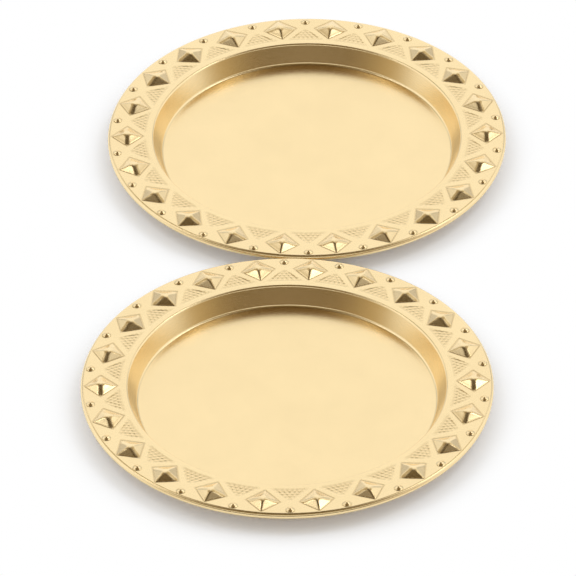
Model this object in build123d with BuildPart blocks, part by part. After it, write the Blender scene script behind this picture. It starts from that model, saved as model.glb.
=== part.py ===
"""Two round pressed-metal candle plates, side by side, each with a rim of raised diamonds."""

import os
from math import atan2, pi, tan

from build123d import *

# Sizes of one plate, in millimetres. Its foot stands on z = 0 and its axis is vertical.
outer_radius = 100
rim_width = 22.8
wall_run = 4.4
well_depth = 9.6
sheet = 0.8
floor_bend = 1.6
rim_bend = 0.5
curl_radius = 1.25

# Diamonds pressed up from the rim, each with four facets that meet in a point.
# The tips and the waist are shares of the rim's flat band, the width is a share of the pitch.
diamond_count = 22
diamond_height = 2.0
inner_tip_share = 0.2
waist_share = 0.6
outer_tip_share = 0.988
diamond_width_share = 0.64

# Small drops pressed up near the edge, one between each two diamonds.
drop_radius = 2
drop_height = 1.1
drop_place_share = 0.885

# How the two plates lie, and how far each pattern is turned about its own axis.
plate_gap = 0.3
front_turn = 3.7
rear_turn = 3.2

# Depth by which a pressed shape reaches below its base, so that it joins the sheet.
root_depth = 0.2

rim_height = sheet + well_depth
well_radius = outer_radius - rim_width
floor_radius = well_radius - wall_run
wall_slope = atan2(well_depth, wall_run)
band_start = well_radius + (rim_bend + sheet) * tan(wall_slope / 2)
band_end = outer_radius - sheet / 2 - curl_radius


def band_place(share):
    """Radius at a share of the way across the rim's flat band."""
    return band_start + share * (band_end - band_start)


def pressed_plate():
    """One plate about the Z axis, with a diamond on the X axis."""
    with BuildPart() as plate:
        revolve(sheet_section(), axis=Axis.Z)
        press_up(diamond(), diamond_count, 0)
        press_up(drop(), diamond_count, 180 / diamond_count)
    return plate.part


def sheet_section():
    """The sheet from the plate's centre to the end of its curled edge."""
    bend_shift = sheet / 2 * tan(wall_slope / 2)
    low, high = sheet / 2, rim_height - sheet / 2
    with BuildSketch(Plane.XZ) as section:
        with BuildLine():
            FilletPolyline(
                (0, low),
                (floor_radius + bend_shift, low),
                (well_radius + bend_shift, high),
                (band_end, high),
                radius=[floor_bend + sheet / 2, rim_bend + sheet / 2],
            )
            CenterArc((band_end, high - curl_radius), curl_radius, 90, -180)
        trace(line_width=sheet)
    return section.sketch


def diamond():
    """A four-sided spike, widest at its waist, that stands on z = 0 along the X axis."""
    waist = band_place(waist_share)
    half_width = diamond_width_share * pi * waist / diamond_count
    corners = [
        (band_place(inner_tip_share), 0),
        (waist, half_width),
        (band_place(outer_tip_share), 0),
        (waist, -half_width),
    ]
    with BuildPart(mode=Mode.PRIVATE) as spike:
        with BuildSketch() as base:
            with BuildLine():
                Polyline(*corners, close=True)
            make_face()
        loft([base.face(), Vertex(waist, 0, diamond_height)])
        extrude(base.face(), amount=-root_depth)
    return spike.part


def drop():
    """A round cap that stands on z = 0 on the X axis."""
    ball_radius = (drop_radius**2 + drop_height**2) / (2 * drop_height)
    with BuildPart(mode=Mode.PRIVATE) as cap:
        with BuildSketch(Plane.XZ):
            with BuildLine():
                RadiusArc((0, drop_height), (drop_radius, 0), ball_radius)
                Polyline((drop_radius, 0), (drop_radius, -root_depth), (0, -root_depth), (0, drop_height))
            make_face()
        revolve(axis=Axis.Z)
    return cap.part.moved(Location((band_place(drop_place_share), 0, 0)))


def press_up(shape, count, first_angle):
    """Raise the shape from the rim all round and hollow the sheet beneath it by as much."""
    for height, mode in ((rim_height, Mode.ADD), (rim_height - sheet, Mode.SUBTRACT)):
        with PolarLocations(0, count, start_angle=first_angle):
            add(shape.moved(Location((0, 0, height))), mode=mode)


plate = pressed_plate()
rear_y = 2 * outer_radius + plate_gap

os.makedirs("parts", exist_ok=True)

with BuildPart(Plane.XY.rotated((0, 0, front_turn))) as front_plate:
    add(plate)
front_plate.part.label = "front_plate"
export_step(front_plate.part, "parts/front_plate.step")

with BuildPart(Plane((0, rear_y, 0)).rotated((0, 0, rear_turn))) as rear_plate:
    add(plate)
rear_plate.part.label = "rear_plate"
export_step(rear_plate.part, "parts/rear_plate.step")
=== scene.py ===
"""Two pressed brass candle plates on a pale floor, with raised diamonds, drops and stippling on their rims."""

from math import atan2, cos, degrees, hypot, pi, radians, sin, tan

import bpy
import numpy as np
from mathutils import Matrix, Vector


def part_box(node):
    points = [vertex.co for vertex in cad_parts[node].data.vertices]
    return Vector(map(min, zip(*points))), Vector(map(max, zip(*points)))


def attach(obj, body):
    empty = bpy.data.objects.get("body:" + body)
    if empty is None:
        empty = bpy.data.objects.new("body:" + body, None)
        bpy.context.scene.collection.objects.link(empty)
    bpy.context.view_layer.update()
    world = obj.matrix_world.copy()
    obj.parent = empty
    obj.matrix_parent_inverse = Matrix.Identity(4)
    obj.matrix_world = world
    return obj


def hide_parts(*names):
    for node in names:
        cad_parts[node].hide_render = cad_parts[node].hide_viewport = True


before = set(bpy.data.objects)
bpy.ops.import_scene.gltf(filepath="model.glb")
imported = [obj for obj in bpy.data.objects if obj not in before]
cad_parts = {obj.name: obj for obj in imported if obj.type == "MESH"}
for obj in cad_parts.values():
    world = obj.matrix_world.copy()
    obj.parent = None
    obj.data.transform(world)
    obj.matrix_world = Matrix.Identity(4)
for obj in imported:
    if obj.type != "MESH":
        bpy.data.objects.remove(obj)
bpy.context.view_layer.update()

bl_info = {
    "name": "Candle plates",
    "version": (1, 0, 0),
    "blender": (4, 5, 0),
    "location": "3D View > Sidebar > Candle plates",
    "description": "Models two pressed brass candle plates, their finish and a plain studio",
    "category": "Add Mesh",
}

MM = 0.001
FRONT_LOW, FRONT_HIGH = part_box("front_plate")
REAR_LOW, REAR_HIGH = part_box("rear_plate")


def centre_of(low, high):
    """The middle of a node's box, on the floor."""
    return Vector(((low[0] + high[0]) / 2, (low[1] + high[1]) / 2, 0))


FRONT_CENTRE = centre_of(FRONT_LOW, FRONT_HIGH)
REAR_CENTRE = centre_of(REAR_LOW, REAR_HIGH)
OUTER_RADIUS = (FRONT_HIGH[0] - FRONT_LOW[0]) / 2

# The pressed sheet, as in the frame.
SHEET = 0.8 * MM
RIM_HEIGHT = 10.4 * MM
WELL_RADIUS = OUTER_RADIUS - 22.8 * MM
FLOOR_RADIUS = WELL_RADIUS - 4.4 * MM
FLOOR_BEND = 1.6 * MM
RIM_BEND = 0.5 * MM
CURL_RADIUS = 1.25 * MM
WALL_SLOPE = atan2(RIM_HEIGHT - SHEET, WELL_RADIUS - FLOOR_RADIUS)
WALL_DEGREES = degrees(WALL_SLOPE)
BAND_START = WELL_RADIUS + (RIM_BEND + SHEET) * tan(WALL_SLOPE / 2)
BAND_END = OUTER_RADIUS - SHEET / 2 - CURL_RADIUS

# Centres of the sheet's bends, as radius and height, and the radius of the flat disc inside them.
FLOOR_ARC = (FLOOR_RADIUS - FLOOR_BEND * tan(WALL_SLOPE / 2), SHEET + FLOOR_BEND)
RIM_ARC = (BAND_START, RIM_HEIGHT - RIM_BEND - SHEET)
CURL_CENTRE = (BAND_END, RIM_HEIGHT - SHEET / 2 - CURL_RADIUS)
DISC_RADIUS = FLOOR_ARC[0] - 1.2 * MM


def in_band(share):
    """A radius in the rim's flat band, whose inner end is at 0 and outer end at 1."""
    return BAND_START + share * (BAND_END - BAND_START)


# The rim's ornament, as in the frame.
PITCHES = 22
PITCH = 2 * pi / PITCHES
INNER_TIP = in_band(0.2)
WAIST = in_band(0.6)
OUTER_TIP = in_band(0.988)
HALF_WIDTH = WAIST * tan(0.64 * PITCH / 2)
DROP_PLACE = in_band(0.885)
FRONT_TURN = radians(3.7)
REAR_TURN = radians(3.2)

# Fine shape that the looks add. Facets are slightly hollow, and no steeper than this share of a plain facet.
FACET_HOLLOW = 1.1
STEEPEST_SHARE = 1.3
# Distance on the plan from a diamond's inner edge to its point, at right angles to the edge.
EDGE_RUN = 1 / hypot(1 / HALF_WIDTH, 1 / (WAIST - INNER_TIP))
GROOVE_HALF_WIDTH = 0.5 * MM
# The stippled ground between two diamonds is a triangle: its ends, half its widest side and its soft border.
STIPPLE_START = INNER_TIP - 1.2 * MM
STIPPLE_END = WAIST - 0.4 * MM
STIPPLE_HALF_WIDTH = 8.6 * MM
STIPPLE_SIDE_SHARE = 0.75
STIPPLE_BORDER = 0.8 * MM
# The dots' rows lie this share of the spacing apart, and a dot's radius is this share of the spacing.
DOT_ROW_SHARE = 0.8
DOT_RADIUS_SHARE = 0.42
# How far the painted shade reaches from a foot, and how much less of that a drop has.
FOOT_SHADE_REACH = 0.6 * MM
DROP_SHADE_LOSS = 0.2 * MM

# Columns of faces in one pitch: on the upper side across half a diamond and in all, and on the underside.
HALF_COLUMNS = 16
PITCH_COLUMNS = 50
UPPER_COLUMNS = PITCHES * PITCH_COLUMNS
LOWER_PITCH_COLUMNS = 16
# Rings between the wall and the diamonds, as shares of the way, on the upper side and the underside.
UPPER_LEDGE_SHARES = (0.15, 0.4, 0.6, 0.8)
LOWER_LEDGE_SHARE = 0.4
# Steps round each bend, on the upper side and the underside.
UPPER_BEND_STEPS, UPPER_CURL_STEPS = 7, 10
LOWER_FLOOR_STEPS, LOWER_RIM_STEPS, LOWER_CURL_STEPS = 5, 4, 6
MERGE_DISTANCE = 0.005 * MM
SMOOTH_ANGLE = radians(50)

# The camera, as fitted to the photograph: its turn and rise round its aim, its distance, its roll and its lens.
CAMERA_TURN = radians(3.07)
CAMERA_RISE = radians(37.94)
CAMERA_DISTANCE = 4.2
CAMERA_ROLL = radians(-0.396)
CAMERA_AIM = Vector((-0.004, 0.0884, 0.0))
SENSOR_WIDTH = 36
PICTURE_WIDTH = 576
FOCAL_PIXELS = 8528.1
CAMERA_LENS = SENSOR_WIDTH * FOCAL_PIXELS / PICTURE_WIDTH

# The paper floor. The camera sees it bluish and brighter than white, which keeps the shadow light and grey.
PAPER_SIZE = 30
PAPER_DROP = 0.03 * MM
PAPER_IN_VIEW = (1.5, 1.6, 1.76, 1)
# Share of the paper that glows next to a plate, and the distances over which it grows to 1, in outer radii.
LEAST_GLOW = 0.1
GLOW_START, GLOW_END = 0.95, 1.22

# The studio's sky. A patch has its turn and rise, the half-widths at which it is full and at which it has
# ended, all in degrees, whether it keeps below the low band's end, and its colour.
SKY_WHITE = (1.085, 1.085, 1.085, 1)
LOW_BAND = (radians(18), radians(33))
SKY_PATCHES = (
    # The camera's side, near the floor: the back of each wall.
    (-90, 12, 60, 88, True, (0.5, 0.39, 0.22)),
    (-90, 12, 25, 65, True, (0.17, 0.12, 0.06)),
    # The back, at both sides of the middle: some facets.
    (120, 54, 8, 18, False, (0.4, 0.31, 0.17)),
    (60, 53, 8, 15, False, (0.5, 0.4, 0.24)),
    # High on the camera's side: the near sides of the drops and of the curled edge.
    (-90, 70, 20, 30, False, (0.2, 0.14, 0.06)),
    (-40, 62, 18, 28, False, (0.22, 0.16, 0.08)),
    (-140, 62, 18, 28, False, (0.22, 0.16, 0.08)),
    # Overhead: the darkest facets.
    (90, 90, 9, 16, False, (0.2, 0.15, 0.08)),
    (90, 75, 13, 19, False, (0.07, 0.045, 0.015)),
    # The back, near the floor: the sides of each wall.
    (60, 20, 7, 15, False, (0.58, 0.58, 0.6)),
    (120, 20, 7, 15, False, (0.58, 0.58, 0.6)),
)

# Soft lamps: name, turn and rise in degrees, side in metres and power in watts.
LAMPS = (
    ("Right softbox", 26, 57, 0.42, 1.5),
    ("Left softbox", 154, 60, 0.3, 0.6),
)
LAMP_DISTANCE = 2.0


def linear(code):
    """A colour's linear values, from its sRGB hex code."""
    parts = [int(code[i:i + 2], 16) / 255 for i in (1, 3, 5)]
    return tuple(p / 12.92 if p <= 0.04045 else ((p + 0.055) / 1.055) ** 2.4 for p in parts)


class CandlePlateSizes(bpy.types.PropertyGroup):
    diamond_height: bpy.props.FloatProperty(
        name="Diamond height", description="How far a diamond's point stands above the rim",
        default=2.0 * MM, min=0.2 * MM, max=2.0 * MM, subtype="DISTANCE", unit="LENGTH", precision=4)
    drop_height: bpy.props.FloatProperty(
        name="Drop height", description="How far a drop stands above the rim",
        default=1.1 * MM, min=0.1 * MM, max=1.6 * MM, subtype="DISTANCE", unit="LENGTH", precision=4)
    drop_radius: bpy.props.FloatProperty(
        name="Drop radius", description="Radius of a drop at its foot",
        default=2.0 * MM, min=0.8 * MM, max=2.2 * MM, subtype="DISTANCE", unit="LENGTH", precision=4)
    ridge_radius: bpy.props.FloatProperty(
        name="Ridge softness", description="How softly the facets meet along the ridges",
        default=1.6 * MM, min=0.02 * MM, max=3.0 * MM, subtype="DISTANCE", unit="LENGTH", precision=5)
    groove_depth: bpy.props.FloatProperty(
        name="Groove depth", description="Depth of the fine line pressed round each diamond",
        default=0.12 * MM, min=0.0, max=0.3 * MM, subtype="DISTANCE", unit="LENGTH", precision=5)
    stipple_depth: bpy.props.FloatProperty(
        name="Stipple depth", description="How far the stippled ground lies below the rim",
        default=0.2 * MM, min=0.0, max=0.3 * MM, subtype="DISTANCE", unit="LENGTH", precision=5)
    stipple_spacing: bpy.props.FloatProperty(
        name="Stipple spacing", description="Distance between the middles of two punched dots",
        default=2.3 * MM, min=1.0 * MM, max=4.0 * MM, subtype="DISTANCE", unit="LENGTH", precision=4)


class CandlePlateColours(bpy.types.PropertyGroup):
    brass: bpy.props.FloatVectorProperty(
        name="Brass", description="The lacquered brass where it is clean", subtype="COLOR", size=3,
        default=linear("#FAE2B0"), min=0, max=1)
    # Darker brass, painted as shade along the feet of the diamonds and drops and between the dots.
    painted_shade_colour: bpy.props.FloatVectorProperty(
        name="Tarnish", description="The brass in the hollows of the pattern", subtype="COLOR", size=3,
        default=linear("#8E6A32"), min=0, max=1)
    floor: bpy.props.FloatVectorProperty(
        name="Floor", description="The studio floor", subtype="COLOR", size=3,
        default=linear("#F4F4F4"), min=0, max=1)


# Modelling helpers.

def deselect_all():
    """Leaves edit mode and deselects every object."""
    if bpy.context.object and bpy.context.object.mode != "OBJECT":
        bpy.ops.object.mode_set(mode="OBJECT")
    bpy.ops.object.select_all(action="DESELECT")


def pick(obj):
    """Makes an object the only selected one, and the active one."""
    deselect_all()
    obj.select_set(True)
    bpy.context.view_layer.objects.active = obj


def spun_surface(name, outline, columns):
    """An outline of radii and heights, drawn by extruding one corner, spun over one pitch and repeated."""
    deselect_all()
    bpy.ops.mesh.primitive_plane_add(size=MM, location=(outline[0][0], 0, outline[0][1]))
    obj = bpy.context.object
    obj.name = name
    bpy.ops.object.transform_apply(location=True, rotation=True, scale=True)
    bpy.ops.object.mode_set(mode="EDIT")
    bpy.ops.mesh.select_all(action="SELECT")
    bpy.ops.mesh.merge(type="CENTER")
    for before, after in zip(outline, outline[1:]):
        step = (after[0] - before[0], 0, after[1] - before[1])
        bpy.ops.mesh.extrude_region_move(TRANSFORM_OT_translate={"value": step})
    bpy.ops.mesh.select_all(action="SELECT")
    bpy.ops.mesh.spin(steps=columns, angle=PITCH, center=(0, 0, 0), axis=(0, 0, 1))
    bpy.ops.mesh.select_all(action="SELECT")
    bpy.ops.mesh.spin(steps=PITCHES - 1, dupli=True, angle=PITCH * (PITCHES - 1),
                      center=(0, 0, 0), axis=(0, 0, 1))
    bpy.ops.mesh.select_all(action="SELECT")
    bpy.ops.mesh.remove_doubles(threshold=MERGE_DISTANCE)
    bpy.ops.object.mode_set(mode="OBJECT")
    return obj


def points_of(mesh):
    """The mesh's points as an array of one row each."""
    values = np.empty(len(mesh.vertices) * 3)
    mesh.vertices.foreach_get("co", values)
    return values.reshape(-1, 3)


def move_points(mesh, points):
    """Puts the mesh's points where the array says."""
    mesh.vertices.foreach_set("co", np.ascontiguousarray(points).ravel())
    mesh.update()


def select_rim_edges(mesh, radius, height, slack=0.02 * MM):
    """Selects the ring of edges at a radius and height, and nothing else."""
    points = points_of(mesh)
    near = (abs(np.hypot(points[:, 0], points[:, 1]) - radius) < slack) & (abs(points[:, 2] - height) < slack)
    for group in (mesh.polygons, mesh.vertices):
        group.foreach_set("select", np.zeros(len(group), dtype=bool))
    mesh.edges.foreach_set("select", [bool(near[a] and near[b]) for a, b in (e.vertices for e in mesh.edges)])
    mesh.vertices.foreach_set("select", near)
    mesh.update()


# The section of the sheet.

def bend_arc(centre, radius, start, end, steps):
    """Points on an arc from one angle to another, both ends in it, in degrees from the +X side."""
    turns = [radians(start + (end - start) * i / steps) for i in range(steps + 1)]
    return [(centre[0] + radius * cos(t), centre[1] + radius * sin(t)) for t in turns]


def diamond_rings():
    """Radii of the rings across a diamond, so that its edges pass through the corners of the faces."""
    tips = ((INNER_TIP, WAIST), (WAIST, OUTER_TIP))
    rings = []
    for half, (start, end) in enumerate(tips):
        for i in range(HALF_COLUMNS + 1):
            turn = column_turn(i)
            tip = start if half == 0 else end
            share = tip * sin(turn) / (HALF_WIDTH * cos(turn) - (WAIST - tip) * sin(turn))
            rings.append((tip + share * (WAIST - tip)) / cos(turn))
    inner, outer = rings[:HALF_COLUMNS + 1], rings[HALF_COLUMNS + 1:]
    return inner + outer[-2::-1]


def column_turn(i):
    """Turn of the column of faces i steps from a diamond's middle."""
    widest = atan2(HALF_WIDTH, WAIST)
    if i <= HALF_COLUMNS:
        return widest * i / HALF_COLUMNS
    return widest + (PITCH / 2 - widest) * (i - HALF_COLUMNS) / (PITCH_COLUMNS / 2 - HALF_COLUMNS)


def upper_outline():
    """The upper side, from the floor to the bottom of the curled edge."""
    points = [(DISC_RADIUS, SHEET)]
    points += bend_arc(FLOOR_ARC, FLOOR_BEND, -90, -90 + WALL_DEGREES, UPPER_BEND_STEPS)
    points += bend_arc(RIM_ARC, RIM_BEND + SHEET, 90 + WALL_DEGREES, 90, UPPER_BEND_STEPS)
    points += [(BAND_START + (INNER_TIP - BAND_START) * share, RIM_HEIGHT) for share in UPPER_LEDGE_SHARES]
    points += [(radius, RIM_HEIGHT) for radius in diamond_rings()]
    return points + bend_arc(CURL_CENTRE, CURL_RADIUS + SHEET / 2, 90, -90, UPPER_CURL_STEPS)


def lower_outline():
    """The underside, from inside the curled edge to the foot, with every second ring of the diamonds."""
    points = bend_arc(CURL_CENTRE, CURL_RADIUS - SHEET / 2, -90, 90, LOWER_CURL_STEPS)
    points += [(radius, RIM_HEIGHT - SHEET) for radius in diamond_rings()[::-2][:-1]]
    points += [(BAND_START + (INNER_TIP - BAND_START) * LOWER_LEDGE_SHARE, RIM_HEIGHT - SHEET)]
    points += bend_arc(RIM_ARC, RIM_BEND, 90, 90 + WALL_DEGREES, LOWER_RIM_STEPS)
    points += bend_arc(FLOOR_ARC, FLOOR_BEND + SHEET, -90 + WALL_DEGREES, -90, LOWER_FLOOR_STEPS)
    return points + [(DISC_RADIUS, 0)]


# The pattern pressed into the rim.

def soft_least(first, second, softness):
    """The lesser of two heights, rounded where they meet."""
    blend = np.clip(0.5 + 0.5 * (second - first) / softness, 0, 1)
    return second + (first - second) * blend - softness * blend * (1 - blend)


def ring_place(points):
    """Each point's radius, and its turn from the middle of its own diamond."""
    turn = np.arctan2(points[:, 1], points[:, 0])
    return np.hypot(points[:, 0], points[:, 1]), (turn + PITCH / 2) % PITCH - PITCH / 2


def diamond_place(points):
    """Each point's place along and across its own diamond."""
    radius, turn = ring_place(points)
    return radius * np.cos(turn), abs(radius * np.sin(turn))


def gap_place(points):
    """Each point's place along and across the gap between two diamonds."""
    radius, turn = ring_place(points)
    gap_turn = PITCH / 2 - abs(turn)
    return radius * np.cos(gap_turn), radius * np.sin(gap_turn)


def facet(along, across, tip, top):
    """Height of the plane through a diamond's edge, from a tip to its waist, and its point."""
    return top * (1 - across / HALF_WIDTH - (WAIST - along) / (WAIST - tip))


def plain_lift(along, across):
    """Height of a plain diamond as a share of its point, below 0 outside it."""
    return np.minimum(facet(along, across, INNER_TIP, 1.0), facet(along, across, OUTER_TIP, 1.0))


def drop_distance(points):
    """How far each point is from the middle of the nearest drop."""
    along, across = gap_place(points)
    return np.hypot(along - DROP_PLACE, across)


def diamond_lift(along, across, sizes):
    """Height of a diamond with softened ridges, slightly hollow facets and a fine groove round its foot."""
    sharp = plain_lift(along, across)
    softness = sizes.ridge_radius
    rounded = (np.hypot(across, softness) - softness) * HALF_WIDTH / (hypot(HALF_WIDTH, softness) - softness)
    bend = softness / sizes.diamond_height
    inner = facet(along, rounded, INNER_TIP, 1 + bend / 4)
    outer = facet(along, rounded, OUTER_TIP, 1 + bend / 4)
    lift = np.clip(np.minimum(soft_least(inner, outer, bend), STEEPEST_SHARE * sharp), 0, 1)
    groove = np.clip(1 - abs(sharp) * EDGE_RUN / GROOVE_HALF_WIDTH, 0, 1)
    return sizes.diamond_height * lift ** FACET_HOLLOW - sizes.groove_depth * groove


def stippled_share(points):
    """1 where the ground between two diamonds is stippled, falling to 0 outside it."""
    along, across = gap_place(points)
    side = (STIPPLE_END - along) * STIPPLE_HALF_WIDTH / (STIPPLE_END - STIPPLE_START) - across
    inside = np.minimum(side * STIPPLE_SIDE_SHARE, ring_place(points)[0] - STIPPLE_START)
    return np.clip(0.5 + inside / STIPPLE_BORDER, 0, 1)


def dotted_share(points, spacing):
    """1 at the top of each dot, falling to 0 between the dots. Every second row is offset by half a spacing."""
    along, across = gap_place(points)
    row = (along - INNER_TIP) / (DOT_ROW_SHARE * spacing)
    place = across / spacing + 0.5 * (np.round(row) % 2)
    off = np.hypot(place - np.round(place), DOT_ROW_SHARE * (row - np.round(row)))
    return np.clip(1 - (off / DOT_RADIUS_SHARE) ** 2, 0, 1)


def dented_share(points, sizes):
    """1 in the stippled ground between its dots, falling to 0 on top of them and outside it."""
    return stippled_share(points) * (1 - dotted_share(points, sizes.stipple_spacing))


def pressed_height(points, sizes):
    """How far the pattern lifts each point of the rim's upper side."""
    lift = diamond_lift(*diamond_place(points), sizes)
    cap = sizes.drop_height * np.clip(1 - (drop_distance(points) / sizes.drop_radius) ** 2, 0, 1)
    return lift + cap - sizes.stipple_depth * dented_share(points, sizes)


def hollow_share(points, sizes):
    """1 along the foot of each diamond and drop, where shade is painted, falling to 0 away from it."""
    diamond_off = abs(plain_lift(*diamond_place(points))) * EDGE_RUN
    drop_off = abs(drop_distance(points) - sizes.drop_radius) + DROP_SHADE_LOSS
    return np.clip(1 - np.minimum(diamond_off, drop_off) / FOOT_SHADE_REACH, 0, 1)


def press_pattern(obj, sizes):
    """Turns the columns to follow the diamonds, then lifts the rim and dents its underside."""
    mesh = obj.data
    points = points_of(mesh)
    radius = np.hypot(points[:, 0], points[:, 1])
    upper = np.zeros(len(points), dtype=bool)
    mesh.attributes["upper"].data.foreach_get("value", upper)
    turn = np.arctan2(points[:, 1], points[:, 0])
    column = turn / (2 * pi) * UPPER_COLUMNS
    near = np.round(column / PITCH_COLUMNS) * PITCH_COLUMNS
    steps = np.round(abs(column - near)).astype(int)
    table = np.array([column_turn(i) for i in range(PITCH_COLUMNS // 2 + 1)])
    placed = near / UPPER_COLUMNS * 2 * pi + np.sign(column - near) * table[np.clip(steps, 0, len(table) - 1)]
    turn = np.where(upper, placed, turn)
    points[:, 0], points[:, 1] = radius * np.cos(turn), radius * np.sin(turn)
    band = (radius > BAND_START - 0.1 * MM) & (radius < BAND_END + 0.01 * MM)
    band &= points[:, 2] > RIM_HEIGHT - 1.01 * SHEET
    points[:, 2] += np.where(band, pressed_height(points, sizes), 0)
    # Keeps where shade is painted: along the feet of the diamonds and drops, and in the dents between the dots.
    for name, share in (("dented", dented_share(points, sizes)), ("hollow", hollow_share(points, sizes))):
        layer = mesh.attributes.new(name, "FLOAT", "POINT")
        layer.data.foreach_set("value", np.where(band & upper, share, 0).astype(np.float32))
    move_points(mesh, points)


def mark_upper(obj, value):
    """Keeps in the mesh which points belong to the upper side."""
    layer = obj.data.attributes.new("upper", "BOOLEAN", "POINT")
    layer.data.foreach_set("value", np.full(len(obj.data.vertices), value))


def split_faces(obj, chosen, method):
    """Splits the chosen faces into triangles in one direction."""
    mesh = obj.data
    mesh.vertices.foreach_set("select", np.zeros(len(mesh.vertices), dtype=bool))
    mesh.edges.foreach_set("select", np.zeros(len(mesh.edges), dtype=bool))
    mesh.polygons.foreach_set("select", chosen)
    pick(obj)
    bpy.ops.object.mode_set(mode="EDIT")
    bpy.ops.mesh.select_mode(type="FACE")
    bpy.ops.mesh.quads_convert_to_tris(quad_method=method, ngon_method="BEAUTY")
    bpy.ops.object.mode_set(mode="OBJECT")


def split_along_edges(obj):
    """Splits the faces of each diamond along the direction in which its edges run, and all other faces too."""
    radius, turn = ring_place(points_of(obj.data))
    rising = []
    for polygon in obj.data.polygons:
        corners = list(polygon.vertices)
        inner = sum(radius[c] for c in corners) / 4 < WAIST + 0.3 * MM
        left = sum(turn[c] for c in corners) / 4 > 0
        rising.append(len(corners) == 4 and left != inner)
    split_faces(obj, np.array(rising), "FIXED")
    remaining = np.array([len(polygon.vertices) == 4 for polygon in obj.data.polygons])
    split_faces(obj, remaining, "FIXED_ALTERNATE")


def pressed_plate(sizes):
    """One plate about the Z axis, a closed sheet with its pattern pressed in."""
    upper, lower = upper_outline(), lower_outline()
    top = spun_surface("front_pressed_plate", upper, PITCH_COLUMNS)
    mark_upper(top, True)
    under = spun_surface("underside", lower, LOWER_PITCH_COLUMNS)
    mark_upper(under, False)
    for obj, edge in ((top, upper[0]), (under, lower[-1])):
        pick(obj)
        bpy.ops.object.mode_set(mode="EDIT")
        bpy.ops.mesh.select_mode(type="EDGE")
        bpy.ops.object.mode_set(mode="OBJECT")
        select_rim_edges(obj.data, *edge)
        bpy.ops.object.mode_set(mode="EDIT")
        bpy.ops.mesh.edge_face_add()
        bpy.ops.object.mode_set(mode="OBJECT")
    deselect_all()
    under.select_set(True)
    top.select_set(True)
    bpy.context.view_layer.objects.active = top
    bpy.ops.object.join()
    bpy.ops.object.mode_set(mode="EDIT")
    bpy.ops.mesh.select_mode(type="EDGE")
    bpy.ops.mesh.select_all(action="DESELECT")
    bpy.ops.mesh.select_non_manifold(extend=False)
    bpy.ops.mesh.bridge_edge_loops()
    bpy.ops.mesh.select_all(action="SELECT")
    bpy.ops.mesh.normals_make_consistent(inside=False)
    bpy.ops.object.mode_set(mode="OBJECT")
    press_pattern(top, sizes)
    split_along_edges(top)
    pick(top)
    bpy.ops.object.shade_smooth_by_angle(angle=SMOOTH_ANGLE)
    return top


def turn_and_place(obj, turn, centre):
    """Turns a plate about its own axis and sets it at its place, in the mesh itself."""
    obj.data.transform(Matrix.Translation(centre) @ Matrix.Rotation(turn, 4, "Z"))
    obj.data.update()


# Finishes.

def add_node(tree, kind, settings=(), **links):
    """Adds a node with its settings, and links or fills its inputs by name."""
    node = tree.nodes.new(kind)
    for key, value in dict(settings).items():
        setattr(node, key, value)
    for key, value in links.items():
        index = key[1:] if key.startswith("_") else key.replace("_", " ")
        socket = node.inputs[int(index)] if index.isdigit() else node.inputs[index]
        if isinstance(value, bpy.types.NodeSocket):
            tree.links.new(value, socket)
        else:
            socket.default_value = value
    return node


def maths(tree, operation, *values, clamp=False):
    """The result of a maths node, from its operation and its numbers or sockets."""
    inputs = {f"_{i}": value for i, value in enumerate(values)}
    return add_node(tree, "ShaderNodeMath", {"operation": operation, "use_clamp": clamp}, **inputs).outputs[0]


def new_tree(owner):
    """An empty node tree for a material or world."""
    owner.use_nodes = True
    owner.node_tree.nodes.clear()
    return owner.node_tree


def lacquered_pressed_brass(colours):
    """Brass sheet, drawn, polished and lacquered: a satin gold with faint orange peel, and shade painted into
    its hollows.
    """
    material = bpy.data.materials.new("Lacquered pressed brass")
    tree = new_tree(material)
    place = add_node(tree, "ShaderNodeTexCoord").outputs["Object"]
    # Slow drift of the lacquer's tint, about 30 mm from patch to patch.
    drift = add_node(tree, "ShaderNodeTexNoise", Vector=place, Scale=1 / (30 * MM), Detail=3.0, Roughness=0.6)
    tint = add_node(tree, "ShaderNodeMapRange", _0=drift.outputs["Fac"], _1=0.3, _2=0.7, _3=0.0, _4=0.04)
    # Painted shade, a darker brass: most of it along the feet of the diamonds and drops, a little between the
    # dots, on top of the slow tint drift.
    hollow = add_node(tree, "ShaderNodeAttribute", {"attribute_name": "hollow"}).outputs["Fac"]
    dented = add_node(tree, "ShaderNodeAttribute", {"attribute_name": "dented"}).outputs["Fac"]
    # The dents between the dots get a little painted shade.
    drift_and_shade = maths(tree, "MULTIPLY_ADD", dented, 0.14, tint.outputs[0])
    drift_and_shade = maths(tree, "MULTIPLY_ADD", hollow, 0.34, drift_and_shade, clamp=True)
    colour = add_node(tree, "ShaderNodeMix", {"data_type": "RGBA"}, _0=drift_and_shade,
                      _6=(*colours.brass, 1), _7=(*colours.painted_shade_colour, 1))
    # Orange peel of the lacquer, about 2 mm across, and the polish's grain at 0.6 mm.
    peel = add_node(tree, "ShaderNodeTexNoise", Vector=place, Scale=1 / (2 * MM), Detail=2.0, Roughness=0.5)
    grain = add_node(tree, "ShaderNodeTexNoise", Vector=place, Scale=1 / (0.6 * MM), Detail=2.0, Roughness=0.6)
    peel_bump = add_node(tree, "ShaderNodeBump", Strength=0.2, Distance=0.03 * MM, Height=peel.outputs["Fac"])
    grain_bump = add_node(tree, "ShaderNodeBump", Strength=0.25, Distance=0.012 * MM,
                          Height=grain.outputs["Fac"], Normal=peel_bump.outputs[0])
    # Satin polish, a little duller where shade is painted and where the tint drifts.
    rough = add_node(tree, "ShaderNodeMapRange", _0=grain.outputs["Fac"], _1=0.3, _2=0.7, _3=0.2, _4=0.27)
    rough = maths(tree, "MULTIPLY_ADD", drift_and_shade, 0.1, rough.outputs[0])
    shader = add_node(tree, "ShaderNodeBsdfPrincipled", Base_Color=colour.outputs[2], Metallic=1.0,
                      Roughness=rough, Normal=grain_bump.outputs[0])
    add_node(tree, "ShaderNodeOutputMaterial", Surface=shader.outputs[0])
    return material


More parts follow.
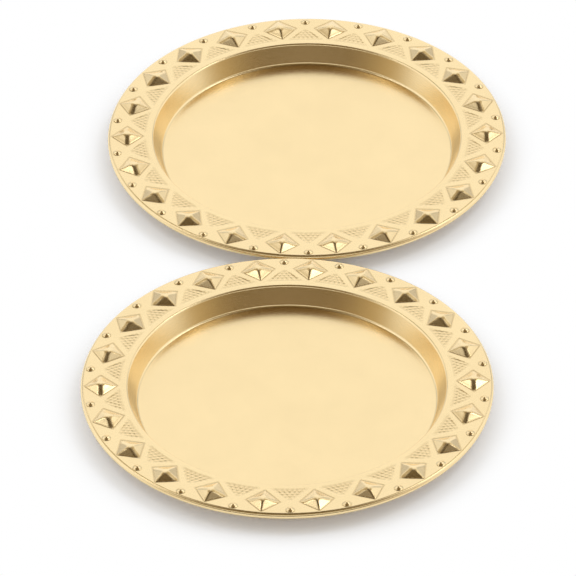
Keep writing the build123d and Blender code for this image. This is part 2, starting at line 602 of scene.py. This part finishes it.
def matte_floor(colours):
    """Matte white paper sweep. It shows white to the camera and in the metal, and keeps the plates' shadow."""
    material = bpy.data.materials.new("Matte white paper")
    tree = new_tree(material)
    place = add_node(tree, "ShaderNodeTexCoord").outputs["Object"]
    fibre = add_node(tree, "ShaderNodeTexNoise", Vector=place, Scale=1 / (2 * MM), Detail=2.0)
    bump = add_node(tree, "ShaderNodeBump", Strength=0.05, Distance=0.05 * MM, Height=fibre.outputs["Fac"])
    rays = add_node(tree, "ShaderNodeLightPath")
    seen = maths(tree, "MAXIMUM", rays.outputs["Is Camera Ray"], rays.outputs["Is Glossy Ray"])
    seen = maths(tree, "MAXIMUM", seen, rays.outputs["Is Transmission Ray"])
    # Light that has already left a matte surface sees the plain paper, so that the shadow stays grey.
    seen = maths(tree, "SUBTRACT", seen, rays.outputs["Diffuse Depth"], clamp=True)
    bright = add_node(tree, "ShaderNodeMix", {"data_type": "RGBA"}, _0=seen,
                      _6=(*colours.floor, 1), _7=PAPER_IN_VIEW)
    paper = add_node(tree, "ShaderNodeBsdfDiffuse", Color=bright.outputs[2], Normal=bump.outputs[0])
    glow = add_node(tree, "ShaderNodeEmission", Color=(1, 1, 1, 1), Strength=1.0)
    # Away from the plates the paper burns out to plain white. In the metal it is white under a foot too.
    away, under = [], []
    for centre in (FRONT_CENTRE, REAR_CENTRE):
        apart = add_node(tree, "ShaderNodeVectorMath", {"operation": "DISTANCE"}, _0=place, _1=tuple(centre))
        apart = apart.outputs["Value"]
        grown = add_node(tree, "ShaderNodeMapRange", {"interpolation_type": "SMOOTHSTEP"}, _0=apart,
                         _1=OUTER_RADIUS * GLOW_START, _2=OUTER_RADIUS * GLOW_END, _3=LEAST_GLOW, _4=1.0)
        away.append(grown.outputs[0])
        under.append(maths(tree, "LESS_THAN", apart, FLOOR_RADIUS))
    mirrored = maths(tree, "MULTIPLY", maths(tree, "MAXIMUM", *under), rays.outputs["Is Glossy Ray"])
    share = maths(tree, "MAXIMUM", maths(tree, "MINIMUM", *away), mirrored)
    share = maths(tree, "MULTIPLY", seen, share)
    mixed = add_node(tree, "ShaderNodeMixShader", _0=share, _1=paper.outputs[0], _2=glow.outputs[0])
    # Seen from below the paper is clear, so that the plates' undersides show.
    clear = add_node(tree, "ShaderNodeBsdfTransparent")
    below = add_node(tree, "ShaderNodeNewGeometry").outputs["Backfacing"]
    mixed = add_node(tree, "ShaderNodeMixShader", _0=below, _1=mixed.outputs[0], _2=clear.outputs[0])
    add_node(tree, "ShaderNodeOutputMaterial", Surface=mixed.outputs[0])
    return material


def sky_way(turn, rise):
    """A direction, from its turn to the left of the picture's right side and its rise, both in degrees."""
    turn, rise = radians(turn) + CAMERA_TURN, radians(rise)
    return (cos(turn) * cos(rise), sin(turn) * cos(rise), sin(rise))


def studio_world():
    """A soft white studio with darker patches, which the metal mirrors. The camera sees plain white."""
    world = bpy.data.worlds.new("Soft studio")
    bpy.context.scene.world = world
    tree = new_tree(world)
    way = add_node(tree, "ShaderNodeTexCoord").outputs["Generated"]
    height = add_node(tree, "ShaderNodeSeparateXYZ", _0=way).outputs["Z"]
    low = add_node(tree, "ShaderNodeMapRange", {"interpolation_type": "SMOOTHSTEP"}, _0=height,
                   _1=sin(LOW_BAND[0]), _2=sin(LOW_BAND[1]), _3=1.0, _4=0.0).outputs[0]
    shade = SKY_WHITE
    for turn, rise, full, ended, stays_low, colour in SKY_PATCHES:
        dot = add_node(tree, "ShaderNodeVectorMath", {"operation": "DOT_PRODUCT"},
                       _0=way, _1=sky_way(turn, rise))
        share = add_node(tree, "ShaderNodeMapRange", {"interpolation_type": "SMOOTHSTEP"},
                         _0=dot.outputs["Value"], _1=cos(radians(ended)), _2=cos(radians(full)),
                         _3=0.0, _4=1.0).outputs[0]
        if stays_low:
            share = maths(tree, "MULTIPLY", share, low)
        mix = add_node(tree, "ShaderNodeMix", {"data_type": "RGBA"}, _0=share, _6=shade, _7=(*colour, 1))
        shade = mix.outputs[2]
    light = add_node(tree, "ShaderNodeBackground", Color=shade, Strength=1.0)
    white = add_node(tree, "ShaderNodeBackground", Color=(1, 1, 1, 1), Strength=1.0)
    in_view = add_node(tree, "ShaderNodeLightPath").outputs["Is Camera Ray"]
    mixed = add_node(tree, "ShaderNodeMixShader", _0=in_view, _1=light.outputs[0], _2=white.outputs[0])
    add_node(tree, "ShaderNodeOutputWorld", Surface=mixed.outputs[0])


def softbox(name, turn, rise, size, power):
    """A square soft lamp in a direction from the middle between both plates, which it faces."""
    bpy.ops.object.light_add(type="AREA")
    lamp = bpy.context.object
    lamp.name = name
    lamp.data.shape = "SQUARE"
    lamp.data.size = size
    lamp.data.energy = power
    way = Vector(sky_way(turn, rise))
    lamp.location = (FRONT_CENTRE + REAR_CENTRE) / 2 + way * LAMP_DISTANCE
    lamp.rotation_euler = way.to_track_quat("Z", "Y").to_euler()


def aim_camera():
    """A long lens from the photograph's side, so that both plates keep their size."""
    level = cos(CAMERA_RISE)
    back = Vector((sin(CAMERA_TURN) * level, -cos(CAMERA_TURN) * level, sin(CAMERA_RISE)))
    bpy.ops.object.camera_add(location=CAMERA_AIM + back * CAMERA_DISTANCE)
    camera = bpy.context.object
    camera.name = "Camera"
    turn = back.to_track_quat("Z", "Y").to_matrix() @ Matrix.Rotation(CAMERA_ROLL, 3, "Z")
    camera.rotation_euler = turn.to_euler()
    camera.data.sensor_width = SENSOR_WIDTH
    camera.data.lens = CAMERA_LENS
    camera.data.clip_end = 100
    bpy.context.scene.camera = camera


# Operators, one for each group of pieces.

class CANDLEPLATE_OT_plates(bpy.types.Operator):
    """Model both pressed plates and give them their finish"""
    bl_idname = "candleplate.plates"
    bl_label = "Model the plates"

    def execute(self, context):
        scene = context.scene
        brass = lacquered_pressed_brass(scene.candle_plate_colours)
        front = pressed_plate(scene.candle_plate_sizes)
        front.data.materials.clear()
        front.data.materials.append(brass)
        rear = front.copy()
        rear.data = front.data.copy()
        rear.name = rear.data.name = "rear_pressed_plate"
        front.data.name = "front_pressed_plate"
        context.collection.objects.link(rear)
        turn_and_place(front, FRONT_TURN, FRONT_CENTRE)
        turn_and_place(rear, REAR_TURN, REAR_CENTRE)
        for piece, node in ((front, "front_plate"), (rear, "rear_plate")):
            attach(piece, node)
            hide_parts(node)
        return {"FINISHED"}


class CANDLEPLATE_OT_stage(bpy.types.Operator):
    """Set up the floor, the lamps, the world and the camera"""
    bl_idname = "candleplate.stage"
    bl_label = "Set up the studio"

    def execute(self, context):
        deselect_all()
        bpy.ops.mesh.primitive_plane_add(size=PAPER_SIZE, location=(0, 0, -PAPER_DROP))
        floor = context.object
        floor.name = "floor"
        floor.data.materials.append(matte_floor(context.scene.candle_plate_colours))
        studio_world()
        for lamp in LAMPS:
            softbox(*lamp)
        aim_camera()
        context.scene.view_settings.view_transform = "Standard"
        return {"FINISHED"}


class CANDLEPLATE_PT_panel(bpy.types.Panel):
    """Sizes, colours and steps of the candle plates"""
    bl_idname = "CANDLEPLATE_PT_panel"
    bl_label = "Candle plates"
    bl_space_type = "VIEW_3D"
    bl_region_type = "UI"
    bl_category = "Candle plates"

    def draw(self, context):
        for group in (context.scene.candle_plate_sizes, context.scene.candle_plate_colours):
            for name in group.__annotations__:
                self.layout.prop(group, name)
        for step in STEPS:
            self.layout.operator(step.bl_idname)


STEPS = (CANDLEPLATE_OT_plates, CANDLEPLATE_OT_stage)
CLASSES = (CandlePlateSizes, CandlePlateColours, *STEPS, CANDLEPLATE_PT_panel)


def register():
    for kind in CLASSES:
        bpy.utils.register_class(kind)
    bpy.types.Scene.candle_plate_sizes = bpy.props.PointerProperty(type=CandlePlateSizes)
    bpy.types.Scene.candle_plate_colours = bpy.props.PointerProperty(type=CandlePlateColours)


def unregister():
    del bpy.types.Scene.candle_plate_colours
    del bpy.types.Scene.candle_plate_sizes
    for kind in reversed(CLASSES):
        bpy.utils.unregister_class(kind)


def main():
    register()
    bpy.ops.candleplate.plates()
    bpy.ops.candleplate.stage()


if __name__ == "__main__":
    main()
